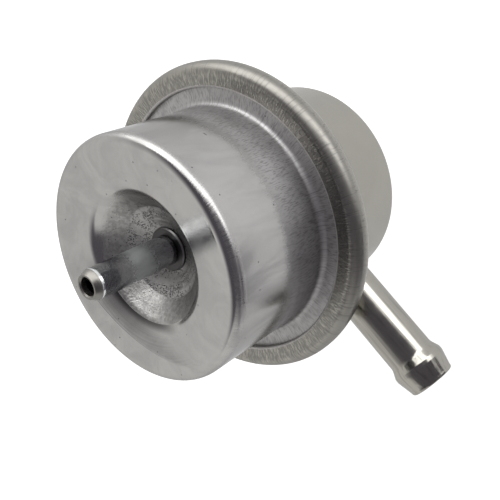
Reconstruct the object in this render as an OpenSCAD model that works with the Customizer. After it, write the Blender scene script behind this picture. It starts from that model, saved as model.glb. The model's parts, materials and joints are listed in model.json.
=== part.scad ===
// Fuel pressure regulator: two drawn steel housings joined by a rolled crimp over a diaphragm.
// The spring housing has a dished front with a vacuum nipple; the fuel housing has a side inlet
// tail and an axial return tail with a flat valve above its seat.
// Millimetres. The axis is Z with the nipple up, and z = 0 is the middle of the clamped stack.

/* [Sheet metal] */
// thickness of both drawn housings
sheet = 0.9; // [0.7:0.1:1.1]

/* [Crimped rim] */
// outside diameter of the rolled rim
rim_d = 52.2; // [51:0.2:56]
// diameter of the free edge of the folded lip
lip_d = 44.4; // [43.6:0.2:45]
// height of the straight band around the rolled rim
rim_land = 0.6; // [0.5:0.1:0.9]
// rise of the folded lip from its free edge to the roll
lip_rise = 0.4; // [0.2:0.1:0.6]
// rounding of the free edge of the lip
lip_edge_r = 0.5; // [0.2:0.1:0.6]

/* [Spring housing] */
// outside diameter of the spring housing
spring_cup_d = 38.5; // [38:0.5:40]
// height of the front edge above the middle of the rim
spring_cup_h = 20.9; // [19.5:0.1:24]
// outside radius between the wall and the front face
front_edge_r = 1.4; // [1.2:0.1:2]
// fall of the conical front face towards the dish
face_slope = 9; // [6:0.5:11]
// radius between the wall and its flange
foot_r = 1; // [0.6:0.1:1.2]

/* [Dish in the front face] */
// diameter where the cones of the face and the dish wall cross
dish_d = 22.3; // [21.6:0.1:22.8]
// depth of the foot of the dish wall below the front edge
dish_depth = 5; // [4.6:0.1:5.4]
// slope of the conical dish wall
dish_slope = 46; // [44:1:52]
// fall of the conical dish floor from the wall to the nipple
dish_fall = 1.8; // [1:0.1:2.2]
// radius at the mouth of the dish
dish_mouth_r = 2; // [1.2:0.1:2.4]
// radius at both edges of the dish floor
dish_floor_r = 0.8; // [0.4:0.1:1]

/* [Vacuum nipple] */
// outside diameter of the nipple
nipple_d = 4.7; // [4:0.1:5]
// bore of the nipple
nipple_bore = 2.8; // [2:0.1:3]
// reach of the nipple past the front edge
nipple_reach = 9.1; // [8:0.1:16]
// diameter of the ring at the root of the nipple
nipple_ring_d = 7; // [6.5:0.1:8]
// height of the ring at the root of the nipple
nipple_ring_h = 0.5; // [0.4:0.05:0.8]
// length of the tapered end
nipple_taper_l = 1; // [0.5:0.1:1.5]
// radial depth of the tapered end
nipple_taper_t = 0.5; // [0.2:0.1:0.5]

/* [Fuel housing] */
// outside diameter of the fuel housing
fuel_cup_d = 36.6; // [36:0.2:38]
// depth of the fuel housing below the middle of the rim
fuel_cup_h = 23.8; // [23:0.1:28]
// outside radius between the wall and the bottom
bottom_edge_r = 2.2; // [1.5:0.1:3]
// radius between the wall and the rim
shoulder_r = 1.5; // [0.8:0.1:2]

/* [Hose tails] */
// outside diameter of the hose tails
tail_d = 8.2; // [7:0.1:8.4]
// bore of the hose tails
tail_bore = 5.5; // [4.6:0.1:5.8]
// diameter of the barb crest
barb_d = 9.5; // [8.8:0.1:10]
// length of the slope behind the crest
barb_back = 1.5; // [0.8:0.1:2]
// length of the crest
barb_land = 0.7; // [0.6:0.1:1]
// length of the slope ahead of the crest
barb_lead = 2.7; // [2:0.1:4]
// rounding of the tail tip
tip_r = 0.6; // [0.3:0.1:0.7]
// distance from the axis to the tip of the inlet tail
inlet_reach = 41.6; // [38:0.1:50]
// depth of the inlet tail below the middle of the rim
inlet_drop = 13.6; // [12.5:0.1:16]
// reach of the return tail below the fuel housing
return_reach = 18; // [14:0.5:22]
// width of the brazed fillet at the root of each tail
braze_w = 0.9; // [0.5:0.1:1.2]

/* [Diaphragm] */
// thickness of the clamped bead
bead_t = 1.2; // [1:0.1:1.6]
// width of the clamped bead
bead_w = 2; // [1.5:0.1:2.2]
// thickness of the membrane
membrane_t = 0.5; // [0.4:0.1:0.6]
// height of the rolled fold above the membrane
roll_h = 1.6; // [1.3:0.1:2]

/* [Main spring] */
// wire diameter of the main spring
wire_d = 3.2; // [2.6:0.1:3.3]
// mean diameter of the main spring
coil_d = 28.6; // [28.4:0.1:29.2]
// turns of the main spring, with its two closed ends
coil_turns = 4.5; // [3.5:0.25:4.75]

/* [Diaphragm plates] */
// thickness of the two diaphragm plates
plate_t = 0.9; // [0.7:0.1:1]
// height of the pressed ridge that centres the main spring
ridge_h = 1.5; // [1:0.1:2]
// width of the top of the ridge
ridge_w = 1.4; // [1:0.1:2]
// diameter of the support plate on the fuel side
support_d = 25; // [20:0.5:28]

/* [Valve] */
// diameter of the riveted stem of the valve holder
stem_d = 6; // [5:0.1:7]
// diameter of the riveted head
rivet_d = 8.8; // [8:0.1:10]
// height of the riveted head
rivet_h = 1; // [0.6:0.1:1.5]
// diameter of the flange of the valve holder
holder_flange_d = 14; // [13:0.5:18]
// thickness of the flange of the valve holder
holder_flange_t = 1.2; // [0.8:0.1:1.5]
// diameter of the valve holder
holder_d = 11; // [10.4:0.1:12.5]
// length of the valve holder below the support plate
holder_l = 6.2; // [6:0.1:7]
// diameter of the valve ball
ball_d = 5; // [4.6:0.1:5.2]
// diameter of the flat valve disc
disc_d = 9.2; // [8:0.1:11]
// thickness of the flat valve disc
disc_t = 1.2; // [0.8:0.1:1.5]
// diameter of the ring that holds the ball
retainer_d = 8.6; // [7.6:0.1:9]
// thickness of the ring that holds the ball
retainer_t = 0.5; // [0.4:0.1:0.7]
// diameter of the seat bore
seat_bore = 3.8; // [3:0.1:4]
// width of the raised seat ring
seat_ring_w = 0.8; // [0.5:0.1:1]
// thickness of the seat flange
seat_t = 1.2; // [1:0.1:1.6]
// length of the seat sleeve pressed into the return tail
seat_sleeve_l = 4; // [2:0.5:6]
// wire diameter of the ball spring
ball_wire_d = 0.5; // [0.4:0.05:0.6]

/* [Hidden] */
$fn = 96;
// angle covered by one chord of a bend
bend_step = 9;
// gap between the clamped edges and the roll of the rim
clamp_gap = 0.1;
// gap beside the rolled fold of the diaphragm
roll_gap = 0.1;
// gap between the main spring and the ridge of its plate
coil_gap = 0.2;
// gap between the diaphragm and the riveted stem
stem_gap = 0.05;
// gap at each end of a spring
end_gap = 0.02;
// height of the wire centre at a ground end, as a share of the wire diameter
coil_ground = 0.25;
// gap around the ball in its socket
ball_gap = 0.05;
// gap around the ball spring in its bore
ball_coil_gap = 0.15;

// levels of the clamped stack, from the bottom of the rim up
rim_bottom = -(3 * sheet + bead_t) / 2;
bead_bottom = rim_bottom + sheet;
bead_top = bead_bottom + bead_t;
flange_top = bead_top + sheet;
lip_top = flange_top + sheet;
rim_r = rim_d / 2;
lip_r = lip_d / 2;
rim_top = lip_top + lip_rise;
lip_slope = atan(lip_rise / (rim_r - lip_r));
// outside radius of the roll, from what its height leaves beside the straight band
roll_r = (rim_top - rim_bottom - rim_land) / (1 + tan((90 + lip_slope) / 2));
clamp_r = rim_r - roll_r - clamp_gap;

spring_cup_r = spring_cup_d / 2;
spring_in_r = spring_cup_r - sheet;
// height where the lines of the wall and the front face cross
edge_z = spring_cup_h + front_edge_r * (tan((90 + face_slope) / 2) - 1);
dish_r = dish_d / 2;
mouth_z = face_z(dish_r);
dish_foot_z = spring_cup_h - dish_depth;
dish_foot_r = dish_r - (mouth_z - dish_foot_z) / tan(dish_slope);
dish_floor_z = dish_foot_z - dish_fall;
// width of the flat around the ring of the nipple
ring_land = 0.3;
land_r = nipple_ring_d / 2 + ring_land;
// centre of the round of the dish mouth
mouth_start_r = dish_r + dish_mouth_r * tan((dish_slope - face_slope) / 2) * cos(face_slope);
mouth_centre_r = mouth_start_r + dish_mouth_r * sin(face_slope);
mouth_centre_z = face_z(mouth_start_r) - dish_mouth_r * cos(face_slope);
nipple_r = nipple_d / 2;
// length of the nipple that shows under the dish floor
nipple_in = 1;
// chamfer around the ring at the root of the nipple
ring_c = 0.2;
nipple_bottom = dish_floor_z - sheet - nipple_in;
nipple_top = spring_cup_h + nipple_reach;

fuel_cup_r = fuel_cup_d / 2;
fuel_in_r = fuel_cup_r - sheet;
tail_r = tail_d / 2;
bore_r = tail_bore / 2;
// chamfer at the mouth of a bore
mouth_c = 0.2;
// length of the inlet tail inside the wall
inlet_in = 1.5;
inlet_start = fuel_in_r - inlet_in;
// fall of the curved wall beside the inlet tail
braze_sag = fuel_cup_r - sqrt(fuel_cup_r ^ 2 - (tail_r + 2 * braze_w) ^ 2);

membrane_z = (bead_bottom + bead_top) / 2;
membrane_top = membrane_z + membrane_t / 2;
membrane_bottom = membrane_z - membrane_t / 2;
coil_r = coil_d / 2;
// the main spring bears on the underside of the face at its inner edge
coil_in_r = coil_r - wire_d / 2;
spring_ceiling = face_underside_z(coil_in_r);
plate_r = coil_r + wire_d / 2 + coil_gap;
plate_top = membrane_top + plate_t;
// inside bend of the spring plate, and the slope of its ridge
plate_bend = 0.3;
ridge_slope = 45;
// the ridge clears the wire along its slope, and its underside starts a little further in
ridge_foot_r = coil_r + wire_d * coil_ground / tan(ridge_slope)
    - (wire_d / 2 + coil_gap) / sin(ridge_slope);
ridge_out_r = ridge_foot_r - plate_t * tan(ridge_slope / 2);
ridge_run = ridge_h / tan(ridge_slope);
support_bottom = membrane_bottom - plate_t;
fold_in_r = plate_r + roll_gap + membrane_t / 2;
fold_out_r = spring_in_r - roll_gap - membrane_t / 2;
fold_r = (fold_out_r - fold_in_r) / 2;
// radius where the fold turns out of the membrane
fold_foot_r = 0.4;

stem_r = stem_d / 2;
holder_bottom = support_bottom - holder_l;
ball_r = ball_d / 2;
// heights on the ball as shares of its radius
ball_sink = 0.48;
ball_flat = 0.88;
ball_z = holder_bottom + ball_sink * ball_r;
disc_top = ball_z - ball_flat * ball_r;
seat_z = disc_top - disc_t;
seat_bottom = seat_z - seat_t;
// drop of the seat flange below the raised ring
seat_relief = 0.4;
socket_roof = ball_z + ball_r + ball_gap;
retainer_top = holder_bottom + retainer_t;
// mean radius of the ball spring
ball_coil_r = ball_r * 0.45;
// length of the ball spring above the ball
ball_coil_l = 1.6;
// turns of the ball spring
ball_coil_turns = 2.5;
ball_coil_bore = ball_coil_r + ball_wire_d / 2 + ball_coil_gap;
ball_coil_z = ball_z + sqrt(ball_r ^ 2 - (ball_coil_r - ball_wire_d / 2) ^ 2);

steel = [0.74, 0.74, 0.72];
bright = [0.82, 0.82, 0.82];
dark = [0.35, 0.35, 0.37];
black = [0.12, 0.12, 0.12];
brass = [0.76, 0.62, 0.33];

function unit(v) = v / norm(v);
function left(v) = [-v[1], v[0]];
function turned(v, a) = [v[0] * cos(a) - v[1] * sin(a), v[0] * sin(a) + v[1] * cos(a)];
function flipped(list) = [for (i = [len(list) - 1:-1:0]) list[i]];
function spot(c) = [c[0], c[1]];

// height of the line of the conical front face
function face_z(r) = edge_z - (spring_cup_r - r) * tan(face_slope);

// height of the underside of the front face, on its cone or inside the round of the dish mouth
function face_underside_z(r) =
    let (round_r = dish_mouth_r - sheet)
    r > mouth_centre_r - round_r * sin(face_slope)
    ? face_z(r) - sheet / cos(face_slope)
    : mouth_centre_z + sqrt(round_r ^ 2 - (mouth_centre_r - r) ^ 2);

// points and left-hand normals of one rounded corner q of a path that comes from p and goes to s
function corner(p, q, s, r) =
    let (u = unit(q - p), w = unit(s - q))
    let (side = sign(cross(u, w)), angle = acos(u * w))
    let (start = q - u * r * tan(angle / 2), centre = start + left(u) * r * side)
    let (n = max(2, ceil(angle / bend_step)))
    [for (i = [0:n]) let (m = turned(left(u), side * angle * i / n)) concat(centre - m * r * side, m)];

// a bent path through corners [x, y, radius], as points with their left-hand normals
function bent(c) =
    let (last = len(c) - 1)
    let (first_n = left(unit(spot(c[1]) - spot(c[0]))))
    let (last_n = left(unit(spot(c[last]) - spot(c[last - 1]))))
    concat(
        [concat(spot(c[0]), first_n)],
        [for (i = [1:last - 1]) each corner(spot(c[i - 1]), spot(c[i]), spot(c[i + 1]), c[i][2])],
        [concat(spot(c[last]), last_n)]);

// one face of a bent sheet, moved along the normals
function face(path, d) = [for (k = path) [k[0] + k[2] * d, k[1] + k[3] * d]];

// outline of a bent sheet with its thickness on the left of the path
function sheet_outline(path, t) = concat(face(path, 0), flipped(face(path, t)));

// points of an arc
function arc(centre, r, a0, a1) =
    let (n = ceil(abs(a1 - a0) / bend_step))
    [for (i = [0:n]) let (a = a0 + (a1 - a0) * i / n) centre + r * [cos(a), sin(a)]];

// height of the wire centre of a closed and ground coil after t turns
function coil_z(t, wire, length, turns) =
    let (dead = 0.75, step = wire * 1.03, ground = wire * coil_ground)
    let (pitch = (length - 2 * ground - 2 * dead * step) / (turns - 2 * dead))
    t < dead ? ground + t * step
    : t > turns - dead ? length - ground - (turns - t) * step
    : ground + dead * step + (t - dead) * pitch;

// a coil spring that stands on z = 0, with flat ground ends
module coil(mean_r, wire, length, turns, sides, steps) {
    n = round(turns * steps);
    points = [for (i = [0:n], j = [0:sides - 1])
        let (t = turns * i / n, a = 360 * (j + 0.5) / sides)
        let (r = mean_r + wire / 2 * cos(a))
        let (z = coil_z(t, wire, length, turns) + wire / 2 * sin(a))
        [r * cos(360 * t), r * sin(360 * t), min(length, max(0, z))]];
    walls = [for (i = [0:n - 1], j = [0:sides - 1])
        let (k = (j + 1) % sides)
        [i * sides + j, (i + 1) * sides + j, (i + 1) * sides + k, i * sides + k]];
    start = [for (j = [0:sides - 1]) j];
    end = [for (j = [sides - 1:-1:0]) n * sides + j];
    polyhedron(points, concat([start, end], walls), convexity = 8);
}

// outline of a hose tail that runs up from its start, with a barb at its tip
function tail_outline(length) =
    let (lead = length - tip_r - barb_lead, land = lead - barb_land)
    concat(
        [[bore_r, 0], [tail_r, 0], [tail_r, land - barb_back]],
        [[barb_d / 2, land], [barb_d / 2, lead]],
        arc([tail_r - tip_r, length - tip_r], tip_r, 0, 90),
        [[bore_r + mouth_c, length], [bore_r, length - mouth_c]]);

module hose_tail(length) {
    rotate_extrude() polygon(tail_outline(length));
}

// brazed fillet around a tail, from the middle of its wall out, on a surface at z = 0 that may
// curve away below it
module braze(below) {
    wall_mid_r = (bore_r + tail_r) / 2;
    rotate_extrude() polygon([
        [wall_mid_r, -below],
        [tail_r + braze_w + below, -below],
        [tail_r, braze_w],
        [wall_mid_r, braze_w]]);
}

// lays a shape that runs up Z along the inlet tail
module to_inlet(distance) {
    translate([distance, 0, -inlet_drop]) rotate([0, 90, 0]) children();
}

module spring_housing() {
    path = bent([
        [clamp_r, flange_top],
        [spring_cup_r, flange_top, foot_r],
        [spring_cup_r, edge_z, front_edge_r],
        [dish_r, mouth_z, dish_mouth_r],
        [dish_foot_r, dish_foot_z, dish_floor_r],
        [land_r, dish_floor_z, dish_floor_r],
        [nipple_r, dish_floor_z]]);
    color(steel) rotate_extrude() polygon(sheet_outline(path, sheet));
}

module fuel_housing() {
    drawn = [
        [tail_r, -fuel_cup_h],
        [fuel_cup_r, -fuel_cup_h, bottom_edge_r],
        [fuel_cup_r, rim_bottom, shoulder_r],
        [rim_r, rim_bottom, roll_r],
        [rim_r, rim_top, roll_r]];
    outside = bent(concat(drawn, [[lip_r, lip_top, lip_edge_r], [lip_r, flange_top]]));
    inside = bent(concat(drawn, [[lip_r, lip_top]]));
    color(steel) difference() {
        rotate_extrude() polygon(concat(face(outside, 0), flipped(face(inside, sheet))));
        to_inlet(0) cylinder(h = rim_r, r = tail_r);
    }
}

module vacuum_nipple() {
    outline = [
        [nipple_bore / 2, nipple_bottom],
        [nipple_r, nipple_bottom],
        [nipple_r, dish_floor_z],
        [nipple_ring_d / 2, dish_floor_z],
        [nipple_ring_d / 2, dish_floor_z + nipple_ring_h - ring_c],
        [nipple_ring_d / 2 - ring_c, dish_floor_z + nipple_ring_h],
        [nipple_r, dish_floor_z + nipple_ring_h],
        [nipple_r, nipple_top - nipple_taper_l],
        [nipple_r - nipple_taper_t, nipple_top],
        [nipple_bore / 2 + mouth_c, nipple_top],
        [nipple_bore / 2, nipple_top - mouth_c]];
    color(bright) rotate_extrude() polygon(outline);
}

module inlet_tail() {
    color(bright) union() {
        to_inlet(inlet_start) hose_tail(inlet_reach - inlet_start);
        difference() {
            to_inlet(fuel_cup_r) braze(braze_sag);
            translate([0, 0, -fuel_cup_h]) cylinder(h = fuel_cup_h, r = fuel_cup_r);
        }
    }
}

module return_tail() {
    color(bright) union() {
        translate([0, 0, seat_bottom]) rotate([180, 0, 0])
            hose_tail(seat_bottom + fuel_cup_h + return_reach);
        translate([0, 0, -fuel_cup_h]) rotate([180, 0, 0]) braze(0);
    }
}

module diaphragm() {
    path = bent([
        [stem_r + stem_gap, membrane_bottom],
        [fold_in_r + membrane_t / 2, membrane_bottom, fold_foot_r],
        [fold_in_r + membrane_t / 2, membrane_bottom + roll_h, fold_r - membrane_t / 2],
        [fold_out_r - membrane_t / 2, membrane_bottom + roll_h, fold_r - membrane_t / 2],
        [fold_out_r - membrane_t / 2, membrane_bottom, fold_foot_r],
        [clamp_r - bead_w, membrane_bottom]]);
    bead = [
        [clamp_r - bead_w, bead_bottom],
        [clamp_r, bead_bottom],
        [clamp_r, bead_top],
        [clamp_r - bead_w, bead_top]];
    color(black) rotate_extrude()
        polygon(concat(face(path, 0), bead, flipped(face(path, membrane_t))));
}

module main_spring() {
    color(dark) translate([0, 0, plate_top + end_gap])
        coil(coil_r, wire_d, spring_ceiling - plate_top - 2 * end_gap, coil_turns, 10, 30);
}

module spring_plate() {
    bend = plate_t + plate_bend;
    ridge_top_r = ridge_out_r - ridge_run;
    path = bent([
        [stem_r, membrane_top],
        [ridge_top_r - ridge_w - ridge_run, membrane_top, bend],
        [ridge_top_r - ridge_w, membrane_top + ridge_h, plate_bend],
        [ridge_top_r, membrane_top + ridge_h, plate_bend],
        [ridge_out_r, membrane_top, bend],
        [plate_r, membrane_top]]);
    color(steel) rotate_extrude() polygon(sheet_outline(path, plate_t));
}

module support_plate() {
    color(steel) translate([0, 0, support_bottom]) difference() {
        cylinder(h = plate_t, d = support_d);
        translate([0, 0, -plate_t]) cylinder(h = 3 * plate_t, r = stem_r);
    }
}

module valve_holder() {
    flange_bottom = support_bottom - holder_flange_t;
    rivet_top = plate_top + rivet_h;
    outline = concat(
        [[0, rivet_top]],
        arc([rivet_d / 2 - rivet_h, plate_top], rivet_h, 90, 0),
        [[stem_r, plate_top]],
        [[stem_r, support_bottom]],
        [[holder_flange_d / 2, support_bottom]],
        [[holder_flange_d / 2, flange_bottom]],
        [[holder_d / 2, flange_bottom]],
        [[holder_d / 2, holder_bottom]],
        [[retainer_d / 2, holder_bottom]],
        [[retainer_d / 2, retainer_top]],
        [[ball_r + ball_gap, retainer_top]],
        [[ball_r + ball_gap, socket_roof]],
        [[ball_coil_bore, socket_roof]],
        [[ball_coil_bore, ball_coil_z + ball_coil_l + end_gap]],
        [[0, ball_coil_z + ball_coil_l + end_gap]]);
    color(brass) rotate_extrude() polygon(outline);
}

module ball_spring() {
    color(dark) translate([0, 0, ball_coil_z])
        coil(ball_coil_r, ball_wire_d, ball_coil_l, ball_coil_turns, 8, 16);
}

module valve_ball() {
    color(bright) difference() {
        translate([0, 0, ball_z]) sphere(r = ball_r);
        translate([0, 0, disc_top - ball_d]) cylinder(h = ball_d, r = ball_d);
    }
}

module ball_retainer() {
    hole_bottom = sqrt(ball_r ^ 2 - (ball_z - holder_bottom) ^ 2) + ball_gap;
    hole_top = sqrt(ball_r ^ 2 - (ball_z - retainer_top) ^ 2) + ball_gap;
    outline = [
        [hole_bottom, holder_bottom],
        [retainer_d / 2, holder_bottom],
        [retainer_d / 2, retainer_top],
        [hole_top, retainer_top]];
    color(steel) rotate_extrude() polygon(outline);
}

module valve_disc() {
    color(bright) translate([0, 0, seat_z]) cylinder(h = disc_t, d = disc_d);
}

module valve_seat() {
    ring_r = seat_bore / 2 + seat_ring_w;
    outline = [
        [seat_bore / 2, seat_z],
        [ring_r, seat_z],
        [ring_r, seat_z - seat_relief],
        [tail_r, seat_z - seat_relief],
        [tail_r, seat_bottom],
        [bore_r, seat_bottom],
        [bore_r, seat_bottom - seat_sleeve_l],
        [seat_bore / 2, seat_bottom - seat_sleeve_l]];
    color(brass) rotate_extrude() polygon(outline);
}

spring_housing();
fuel_housing();
vacuum_nipple();
inlet_tail();
return_tail();
diaphragm();
main_spring();
spring_plate();
support_plate();
valve_holder();
ball_spring();
valve_ball();
ball_retainer();
valve_disc();
valve_seat();
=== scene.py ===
import json
import math

import bmesh
import bpy
from mathutils import Matrix, Vector, noise


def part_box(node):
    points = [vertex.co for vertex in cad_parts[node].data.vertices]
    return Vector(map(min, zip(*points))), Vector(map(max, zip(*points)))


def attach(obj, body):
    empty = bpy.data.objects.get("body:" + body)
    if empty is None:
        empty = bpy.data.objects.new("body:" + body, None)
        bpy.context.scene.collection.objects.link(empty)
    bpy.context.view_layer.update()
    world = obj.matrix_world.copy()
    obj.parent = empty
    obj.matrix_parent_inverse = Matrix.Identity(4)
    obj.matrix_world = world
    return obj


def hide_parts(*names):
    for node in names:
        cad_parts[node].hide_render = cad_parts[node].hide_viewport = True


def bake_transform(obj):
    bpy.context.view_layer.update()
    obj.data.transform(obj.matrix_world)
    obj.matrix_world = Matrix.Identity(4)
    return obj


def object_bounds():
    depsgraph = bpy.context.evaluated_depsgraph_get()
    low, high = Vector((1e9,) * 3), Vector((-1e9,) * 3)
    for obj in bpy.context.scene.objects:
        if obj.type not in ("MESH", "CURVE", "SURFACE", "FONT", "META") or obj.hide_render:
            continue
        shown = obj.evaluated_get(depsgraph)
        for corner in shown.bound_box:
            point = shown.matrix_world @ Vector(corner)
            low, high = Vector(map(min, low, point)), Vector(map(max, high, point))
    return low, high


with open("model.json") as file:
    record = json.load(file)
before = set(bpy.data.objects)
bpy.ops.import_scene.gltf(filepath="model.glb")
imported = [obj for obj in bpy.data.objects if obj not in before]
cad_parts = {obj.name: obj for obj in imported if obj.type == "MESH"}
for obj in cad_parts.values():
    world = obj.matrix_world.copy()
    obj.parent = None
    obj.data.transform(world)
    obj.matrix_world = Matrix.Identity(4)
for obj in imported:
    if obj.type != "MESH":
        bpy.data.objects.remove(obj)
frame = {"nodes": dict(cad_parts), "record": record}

# Fuel pressure regulator: bright pressed steel round a fixed set of solids.
# The part and the camera's place are in millimetres, and the stage and its lamps in metres.
CAD_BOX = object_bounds()
MM = 0.001

MOUNTS = {mount["name"]: mount for mount in frame["record"]["mounts"]}
REPLACED_NODES = (
    "spring_housing", "fuel_housing", "vacuum_nipple", "inlet_tail", "return_tail",
    "main_spring", "diaphragm",
)


def low(node):
    """Lowest corner of a node in millimetres."""
    return Vector(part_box(node)[0]) / MM


def high(node):
    """Highest corner of a node in millimetres."""
    return Vector(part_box(node)[1]) / MM


def mount_r(name):
    """Radius of a round mount in millimetres."""
    return MOUNTS[name]["dims"]["r_mm"]


# Sheet and crimped rim
SHEET = 0.9
WAVE_H = 0.012
WAVE_PITCH = 7.0
RIM_R = mount_r("crimp_rim")
RIM_BOTTOM = -1.95
LIP_R = 22.2
LIP_RISE = 0.4
LIP_EDGE_R = 0.5
LIP_LINE_R = LIP_R + 0.2
ROLL_R = 1.755
FLANGE_TOP = 1.05
FLANGE_R = high("spring_housing").x

# Spring housing: a cone-shaped face round a deep dish
SPRING_R = mount_r("body_band")
FRONT_Z = high("spring_housing").z
FRONT_EDGE_R = 1.4
FACE_SLOPE = math.radians(9)
FOOT_R = 1.0
DISH_R = 11.15
DISH_DEPTH = 5.0
DISH_SLOPE = math.radians(46)
DISH_FALL = 1.8
DISH_MOUTH_R = 2.0
DISH_FLOOR_R = 0.8
EDGE_Z = FRONT_Z + FRONT_EDGE_R * (math.tan((math.pi / 2 + FACE_SLOPE) / 2) - 1)
MOUTH_Z = EDGE_Z - (SPRING_R - DISH_R) * math.tan(FACE_SLOPE)
DISH_FOOT_Z = FRONT_Z - DISH_DEPTH
DISH_FOOT_R = DISH_R - (MOUTH_Z - DISH_FOOT_Z) / math.tan(DISH_SLOPE)
FLOOR_Z = DISH_FOOT_Z - DISH_FALL

# The side of the mouth that the press pulled down, towards SAG_TURN: it falls inside SAG_EDGE_R
# with the square of the way in, and a faint line on a wide arc round SAG_CENTRE bounds it
SAG_CENTRE = Vector((-2.2, 8.7))
SAG_R = 23.1
SAG_EDGE_R = 14.2
SAG_RATE = 0.056
SAG_TURN = math.radians(-70)
SAG_FULL = math.radians(30)
SAG_END = math.radians(70)

# Vacuum nipple and the ring at its root
NIPPLE_R = mount_r("vacuum_hose")
NIPPLE_TOP = high("vacuum_nipple").z
NIPPLE_BOTTOM = low("vacuum_nipple").z
NIPPLE_BORE_R = 1.4
NIPPLE_BORE_C = 0.2
NIPPLE_TAPER_Z = NIPPLE_TOP - 1.0
NIPPLE_TAPER_T = 0.5
RING_R = high("vacuum_nipple").x
RING_C = 0.2
RING_LAND = 0.3
RING_TOP = FLOOR_Z + 0.5

# Fuel housing
FUEL_R = 18.3
FUEL_BOTTOM = low("fuel_housing").z
BOTTOM_EDGE_R = 2.2
SHOULDER_R = 1.5

# Hose tails
TAIL_R = 4.1
TAIL_BORE_R = 2.75
BARB_R = mount_r("inlet_hose")
BARB_BACK = 1.5
BARB_BACK_R = 2.0
BARB_LAND = 0.7
BARB_EDGE_R = 0.5
BARB_LEAD = 2.7
BARB_LEAD_R = 1.0
TIP_L = 0.6
TIP_EDGE_R = 0.5
BRAZE_W = 0.9
BRAZE_SUNK = 0.3
BRAZE_STEPS = 8
INLET_Z = MOUNTS["inlet_hose"]["pos_m"][2] / MM
INLET_START = low("inlet_tail").x
INLET_END = high("inlet_tail").x
RETURN_START = high("return_tail").z
RETURN_END = low("return_tail").z

# Main spring, closed and ground at both ends
WIRE_R = 1.6
WIRE_SIDES = 20
COIL_R = 14.3
COIL_TURNS = 4.5
COIL_DEAD_TURNS = 0.75
COIL_STEP = 3.296
COIL_GROUND = 0.8
COIL_CUTS = 324
SPRING_BOTTOM = low("main_spring").z
SPRING_TOP = high("main_spring").z

# Diaphragm: a membrane with one rolled fold, between a clamped bead and the valve
MEMBRANE = 0.5
MEMBRANE_BOTTOM = -0.7
STEM_HOLE_R = 3.05
FOLD_IN_R = 16.7
FOLD_OUT_R = 17.75
FOLD_TOP = 0.9
FOLD_FOOT_R = 0.4
FOLD_BEND_R = (FOLD_OUT_R - FOLD_IN_R) / 2
FOLD_CREST_R = (FOLD_OUT_R + FOLD_IN_R) / 2
BEAD_W = 2.0
BEAD_H = 1.2
BEAD_R = high("diaphragm").x
BEAD_BOTTOM = low("diaphragm").z

# Camera, read from the photograph; only CLIP_START is in metres
CLIP_START = 0.005
PHOTO_PX = 500
FOCAL_PX = 700
SENSOR_MM = 36
VIEW_TILT = 0.7895
VIEW_TURN = 1.2959
VIEW_ROLL = -2.0601
VIEW_DISTANCE = 116.5073
VIEW_RIGHT = 3.4757
VIEW_UP = -4.9060


def left(v):
    return Vector((-v.y, v.x))


def rounded_corner(p, q, s, radius, step_deg=3.0):
    """Points on the arc that rounds corner q of a path that comes from p and goes to s."""
    u = (q - p).normalized()
    w = (s - q).normalized()
    side = 1 if u.x * w.y - u.y * w.x > 0 else -1
    angle = math.acos(max(-1.0, min(1.0, u.dot(w))))
    start = q - u * radius * math.tan(angle / 2)
    centre = start + left(u) * radius * side
    count = max(3, math.ceil(math.degrees(angle) / step_deg))
    points = []
    for i in range(count + 1):
        normal = Matrix.Rotation(side * angle * i / count, 2) @ left(u)
        points.append((centre - normal * radius * side, normal))
    return points


def bent(corners):
    """A path through (x, y, radius) corners, as points with their left-hand normals."""
    spots = [Vector(corner[:2]) for corner in corners]
    path = [(spots[0], left((spots[1] - spots[0]).normalized()))]
    for i in range(1, len(corners) - 1):
        path += rounded_corner(spots[i - 1], spots[i], spots[i + 1], corners[i][2])
    path.append((spots[-1], left((spots[-1] - spots[-2]).normalized())))
    return path


def face(path, distance):
    """The points at a distance on the left of a path."""
    return [point + normal * distance for point, normal in path]


def sheet_outline(path, thickness):
    """Closed outline of a sheet that lies on the left of its path."""
    return face(path, 0) + face(path, thickness)[::-1]


def subdivided(outline, longest):
    """The outline with its long sides cut into even steps."""
    points = []
    for a, b in zip(outline, outline[1:] + outline[:1]):
        if (b - a).length < 1e-6:
            continue
        steps = max(1, math.ceil((b - a).length / longest))
        points += [a.lerp(b, i / steps) for i in range(steps)]
    return points


def to_object(name, mesh):
    """An object in the scene from a bmesh, which it frees."""
    data = bpy.data.meshes.new(name)
    mesh.to_mesh(data)
    mesh.free()
    obj = bpy.data.objects.new(name, data)
    bpy.context.scene.collection.objects.link(obj)
    return obj


def lathe(name, outline, segments=256, longest=0.6, sharp_deg=24, shape=None):
    """A turned solid about Z from a closed (radius, height) outline."""
    points = subdivided(outline, longest)
    count = len(points)
    mesh = bmesh.new()
    rings = []
    for r, z in points:
        ring = []
        for i in range(segments):
            angle = math.tau * i / segments
            spot = Vector((r * math.cos(angle), r * math.sin(angle), z))
            if shape:
                spot = shape(spot)
            ring.append(mesh.verts.new(spot * MM))
        rings.append(ring)
    for k in range(count):
        a, b = rings[k], rings[(k + 1) % count]
        for i in range(segments):
            j = (i + 1) % segments
            mesh.faces.new((a[i], a[j], b[j], b[i])).smooth = True
    mesh.edges.ensure_lookup_table()
    for k in range(count):
        before = points[k] - points[k - 1]
        after = points[(k + 1) % count] - points[k]
        if math.degrees(before.angle(after, 0.0)) > sharp_deg:
            for i in range(segments):
                mesh.edges.get((rings[k][i], rings[k][(i + 1) % segments])).smooth = False
    bmesh.ops.recalc_face_normals(mesh, faces=mesh.faces)
    return to_object(name, mesh)


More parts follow.
